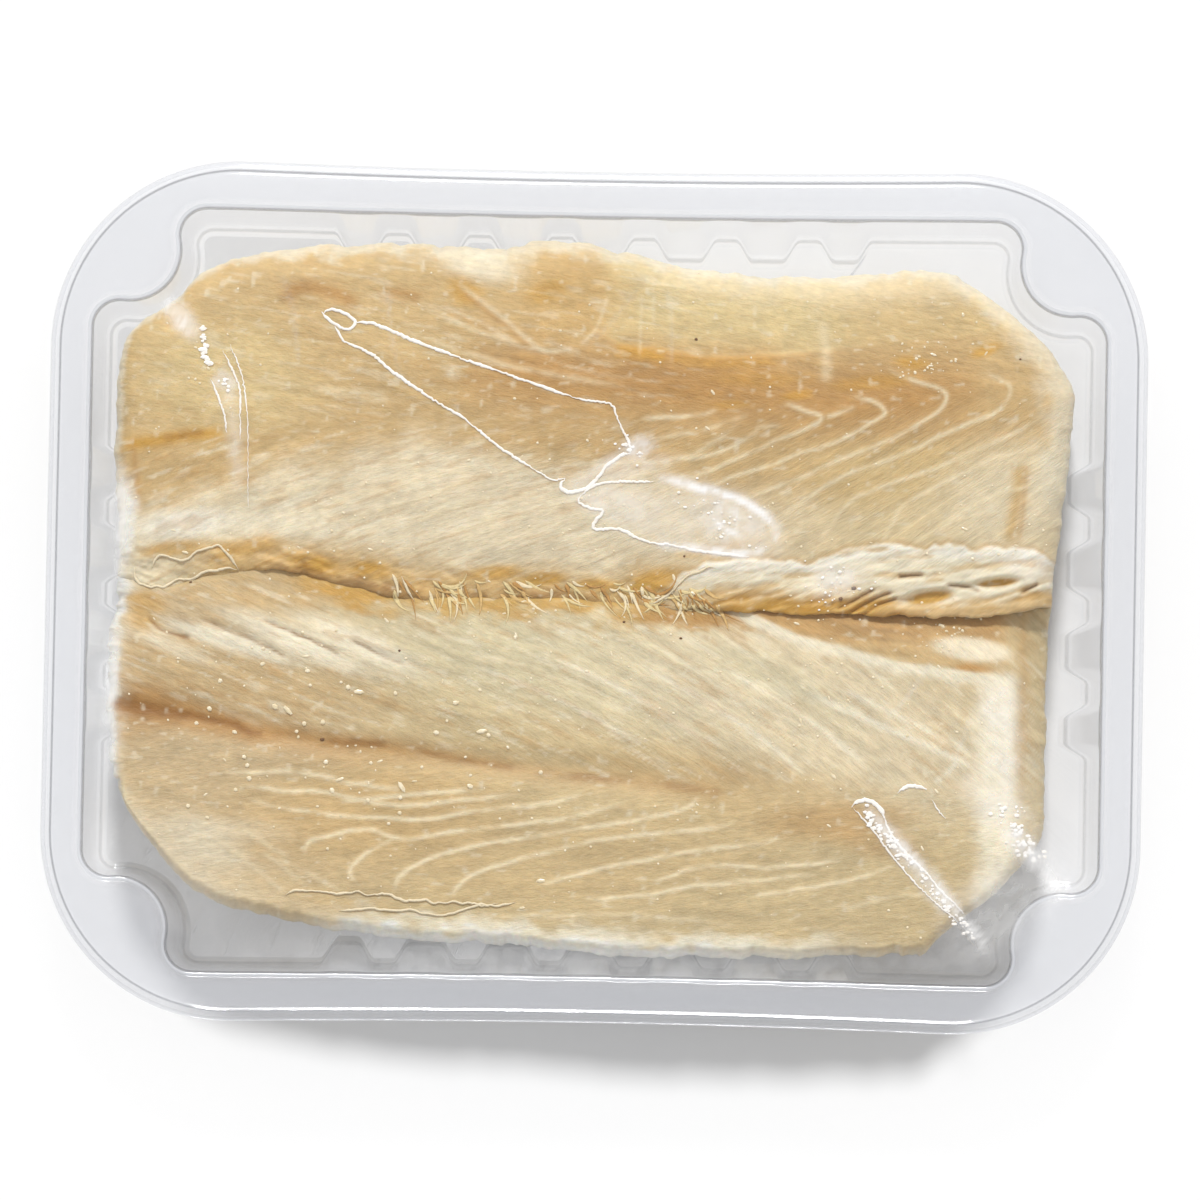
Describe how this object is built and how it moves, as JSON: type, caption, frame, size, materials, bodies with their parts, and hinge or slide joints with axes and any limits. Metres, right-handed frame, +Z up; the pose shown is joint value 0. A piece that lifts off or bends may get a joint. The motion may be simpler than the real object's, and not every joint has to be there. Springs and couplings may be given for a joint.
{
  "type": "sealed tray of salt cod fillets",
  "caption": "Clear thermoformed tray with salted cod fillets lying side by side under a clear film sealed to its flange.",
  "frame": {"origin": "middle of the tray's base, on the surface that it stands on", "axes": "+X along the long side of the tray, +Y along the short side towards the upper fillet, +Z up"},
  "size_m": [0.227, 0.1778, 0.0281],
  "materials": {
    "tray_plastic": "clear glossy thermoformed plastic sheet",
    "cod_flesh": "moist cream to amber salted fish flesh, satin",
    "lid_film": "thin clear glossy film, creased at its corners"
  },
  "bodies": {
    "root": {"tray": "tray_plastic", "fillet_upper": "cod_flesh", "fillet_lower": "cod_flesh", "film": "lid_film"}
  },
  "joints": []
}
